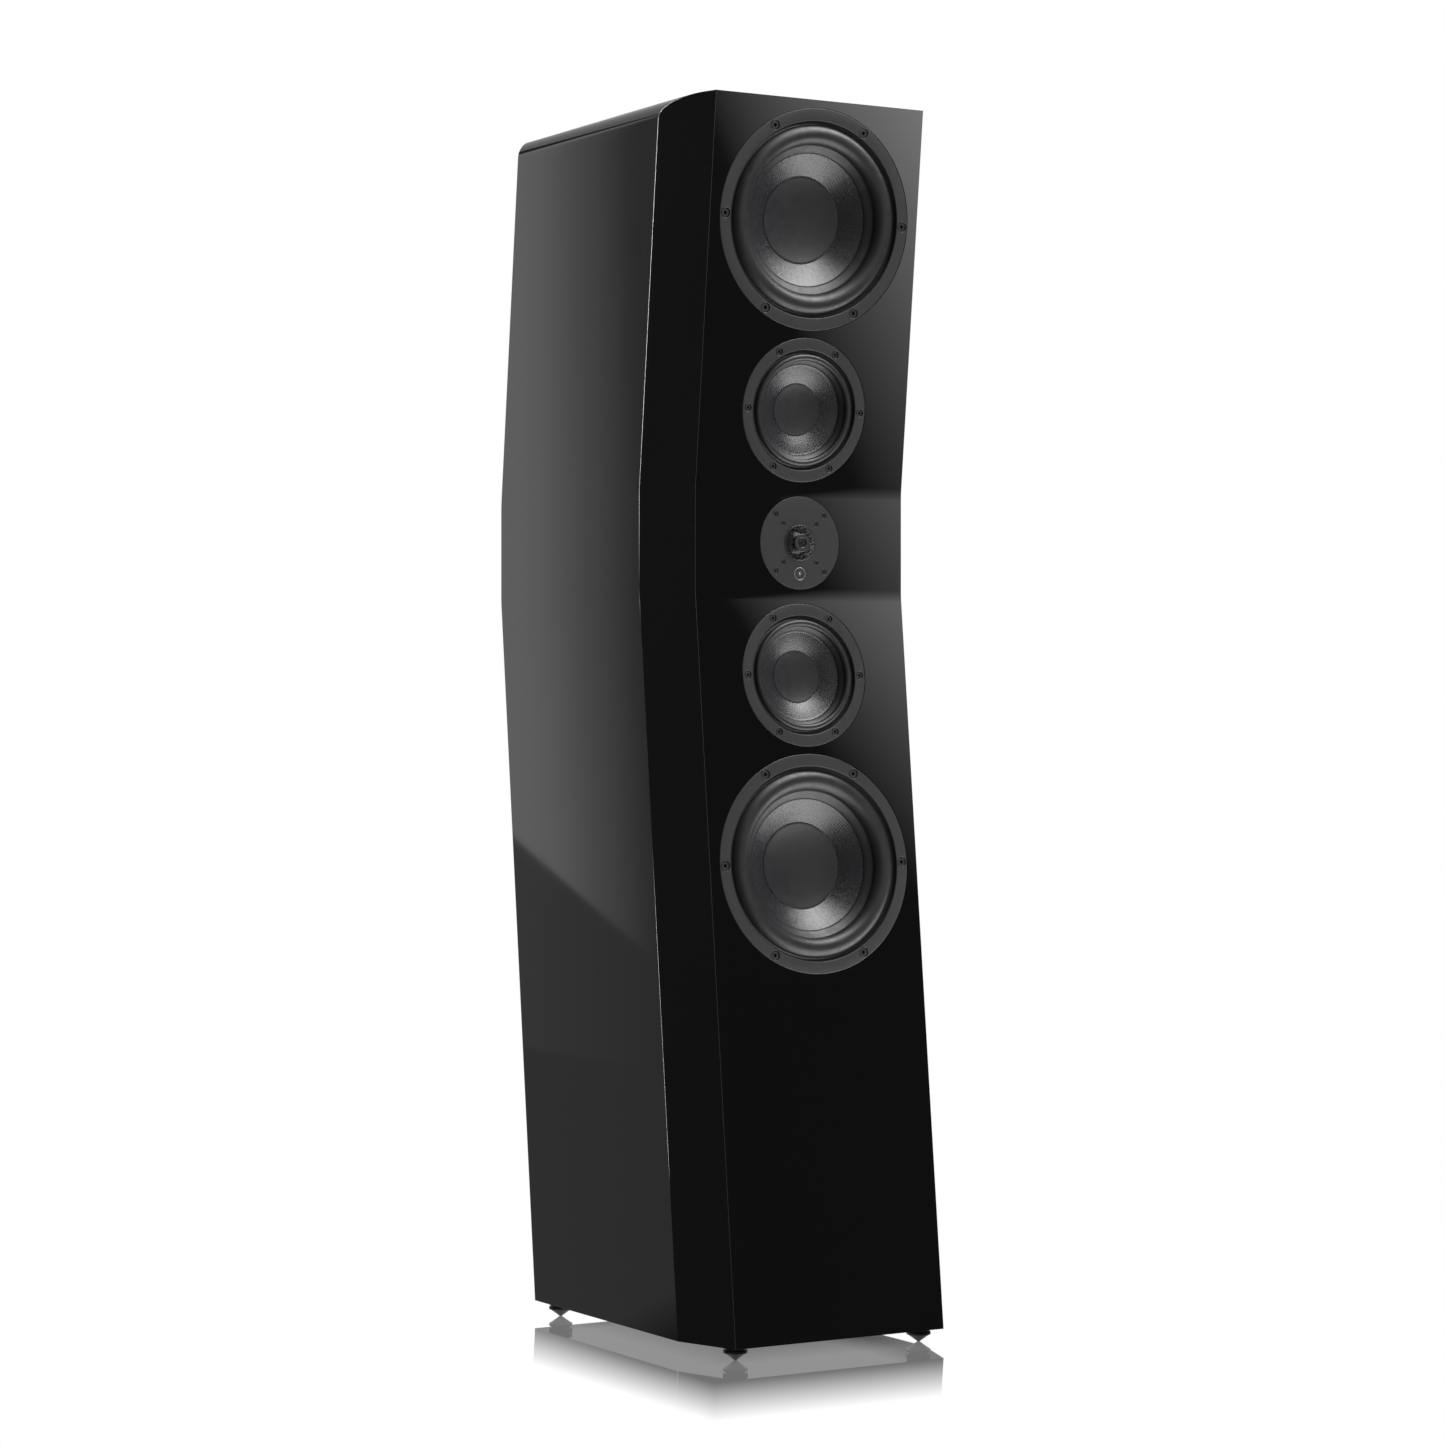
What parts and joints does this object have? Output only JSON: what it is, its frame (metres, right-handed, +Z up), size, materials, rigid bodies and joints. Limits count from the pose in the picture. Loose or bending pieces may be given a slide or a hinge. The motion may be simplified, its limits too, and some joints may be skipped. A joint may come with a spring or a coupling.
{
  "type": "floorstanding loudspeaker",
  "caption": "Floorstanding loudspeaker: bent, chamfered gloss-black cabinet with woofers and midrange drivers mirrored about a guarded dome tweeter, on threaded spike feet.",
  "frame": {"origin": "on the floor under the middle of the overall box", "axes": "+Z up the cabinet, baffle facing -Y, +X to the right as seen from the front"},
  "size_m": [0.298, 0.4588, 1.271],
  "materials": {
    "gloss_lacquer": "high-gloss black lacquer on fibreboard",
    "raw_board": "raw fibreboard",
    "felt": "grey damping felt",
    "circuit_board": "solder-masked board",
    "wound_parts": "copper coils and cased capacitors",
    "wire_jacket": "black insulated wire",
    "satin_frame": "satin black cast frame",
    "roll_rubber": "matt black rubber",
    "woven_cone": "black twill-woven glass fibre",
    "cap_skin": "black moulded cap",
    "coil": "wound copper on a former",
    "spider_cloth": "resin-stiffened cloth",
    "plated_steel": "zinc-plated steel",
    "ferrite": "sintered ferrite",
    "black_screw": "black-oxide steel",
    "tweeter_plate": "satin black aluminium",
    "tweeter_guard": "satin black guard",
    "dome_skin": "dark anodised dome",
    "port_plastic": "satin black moulding",
    "terminal_metal": "black anodised plate",
    "post_metal": "gold-plated brass",
    "knob_positive": "red clear-cased knob",
    "knob_negative": "black clear-cased knob",
    "foot_metal": "black chromed steel",
    "insert_metal": "plain brass"
  },
  "bodies": {
    "cabinet": {"back_panel": "gloss_lacquer", "binding_post_sockets": "post_metal", "binding_post_studs": "post_metal", "bottom_panel": "gloss_lacquer", "chamber_partitions": "raw_board", "crossover_board": "circuit_board", "crossover_parts": "wound_parts", "damping_lining": "felt", "driver_magnets": "ferrite", "driver_screws": "black_screw", "driver_spiders": "spider_cloth", "driver_top_plates": "plated_steel", "driver_yokes": "plated_steel", "foot_inserts": "insert_metal", "foot_lock_rings": "foot_metal", "front_baffle": "gloss_lacquer", "left_side_panel": "gloss_lacquer", "midrange_chamber_back": "raw_board", "midrange_lower_basket": "satin_frame", "midrange_lower_surround": "roll_rubber", "midrange_upper_basket": "satin_frame", "midrange_upper_surround": "roll_rubber", "port_tubes": "port_plastic", "right_side_panel": "gloss_lacquer", "terminal_plate": "terminal_metal", "terminal_screws": "black_screw", "top_panel": "gloss_lacquer", "tweeter_faceplate": "tweeter_plate", "tweeter_lattice": "tweeter_guard", "tweeter_motor": "plated_steel", "tweeter_rear_chamber": "port_plastic", "tweeter_surround": "roll_rubber", "window_braces": "raw_board", "wiring_loom": "wire_jacket", "woofer_lower_basket": "satin_frame", "woofer_lower_surround": "roll_rubber", "woofer_upper_basket": "satin_frame", "woofer_upper_surround": "roll_rubber"},
    "woofer_upper_diaphragm": {"woofer_upper_cone": "woven_cone", "woofer_upper_dust_cap": "cap_skin", "woofer_upper_voice_coil": "coil"},
    "woofer_lower_diaphragm": {"woofer_lower_cone": "woven_cone", "woofer_lower_dust_cap": "cap_skin", "woofer_lower_voice_coil": "coil"},
    "midrange_upper_diaphragm": {"midrange_upper_cone": "woven_cone", "midrange_upper_dust_cap": "cap_skin", "midrange_upper_voice_coil": "coil"},
    "midrange_lower_diaphragm": {"midrange_lower_cone": "woven_cone", "midrange_lower_dust_cap": "cap_skin", "midrange_lower_voice_coil": "coil"},
    "tweeter_diaphragm": {"tweeter_dome": "dome_skin", "tweeter_voice_coil": "coil"},
    "foot_front_left": {"foot_front_left": "foot_metal"},
    "foot_front_right": {"foot_front_right": "foot_metal"},
    "foot_rear_left": {"foot_rear_left": "foot_metal"},
    "foot_rear_right": {"foot_rear_right": "foot_metal"},
    "post_sleeve_positive": {"post_sleeve_positive": "post_metal"},
    "post_knob_positive": {"post_knob_positive": "knob_positive"},
    "post_sleeve_negative": {"post_sleeve_negative": "post_metal"},
    "post_knob_negative": {"post_knob_negative": "knob_negative"}
  },
  "joints": [
    {"name": "woofer_upper_stroke", "type": "slide", "parent": "cabinet", "child": "woofer_upper_diaphragm", "axis": [0, -0.9945, -0.1045], "range_m": [-0.007, 0.007], "stiffness_N_per_m": 2200, "deforming": ["woofer_upper_surround", "driver_spiders"]},
    {"name": "woofer_lower_stroke", "type": "slide", "parent": "cabinet", "child": "woofer_lower_diaphragm", "axis": [0, -0.9945, 0.1045], "range_m": [-0.007, 0.007], "stiffness_N_per_m": 2200, "deforming": ["woofer_lower_surround", "driver_spiders"]},
    {"name": "midrange_upper_stroke", "type": "slide", "parent": "cabinet", "child": "midrange_upper_diaphragm", "axis": [0, -0.9945, -0.1045], "range_m": [-0.0025, 0.0025], "stiffness_N_per_m": 1600, "deforming": ["midrange_upper_surround", "driver_spiders"]},
    {"name": "midrange_lower_stroke", "type": "slide", "parent": "cabinet", "child": "midrange_lower_diaphragm", "axis": [0, -0.9945, 0.1045], "range_m": [-0.0025, 0.0025], "stiffness_N_per_m": 1600, "deforming": ["midrange_lower_surround", "driver_spiders"]},
    {"name": "tweeter_stroke", "type": "slide", "parent": "cabinet", "child": "tweeter_diaphragm", "axis": [0, -1, 0], "range_m": [-0.0004, 0.0004], "stiffness_N_per_m": 500, "deforming": ["tweeter_surround"]},
    {"name": "foot_front_left_height", "type": "slide", "parent": "cabinet", "child": "foot_front_left", "axis": [0, 0, -1], "range_m": [0, 0.01]},
    {"name": "foot_front_right_height", "type": "slide", "parent": "cabinet", "child": "foot_front_right", "axis": [0, 0, -1], "range_m": [0, 0.01]},
    {"name": "foot_rear_left_height", "type": "slide", "parent": "cabinet", "child": "foot_rear_left", "axis": [0, 0, -1], "range_m": [0, 0.01]},
    {"name": "foot_rear_right_height", "type": "slide", "parent": "cabinet", "child": "foot_rear_right", "axis": [0, 0, -1], "range_m": [0, 0.01]},
    {"name": "post_positive_thread", "type": "slide", "parent": "cabinet", "child": "post_sleeve_positive", "axis": [0, 0.9945, -0.1045], "range_m": [0, 0.005]},
    {"name": "post_positive_turn", "type": "hinge", "parent": "post_sleeve_positive", "child": "post_knob_positive", "pos_m": [-0.019, 0.18379, 0.16312], "axis": [0, 0.9945, -0.1045], "range_deg": [0, 1440]},
    {"name": "post_negative_thread", "type": "slide", "parent": "cabinet", "child": "post_sleeve_negative", "axis": [0, 0.9945, -0.1045], "range_m": [0, 0.005]},
    {"name": "post_negative_turn", "type": "hinge", "parent": "post_sleeve_negative", "child": "post_knob_negative", "pos_m": [0.019, 0.18379, 0.16312], "axis": [0, 0.9945, -0.1045], "range_deg": [0, 1440]}
  ],
  "couplings": [
    {"joint": "post_positive_turn", "follows": "post_positive_thread", "rad_per_m": 5026.5},
    {"joint": "post_negative_turn", "follows": "post_negative_thread", "rad_per_m": 5026.5}
  ]
}
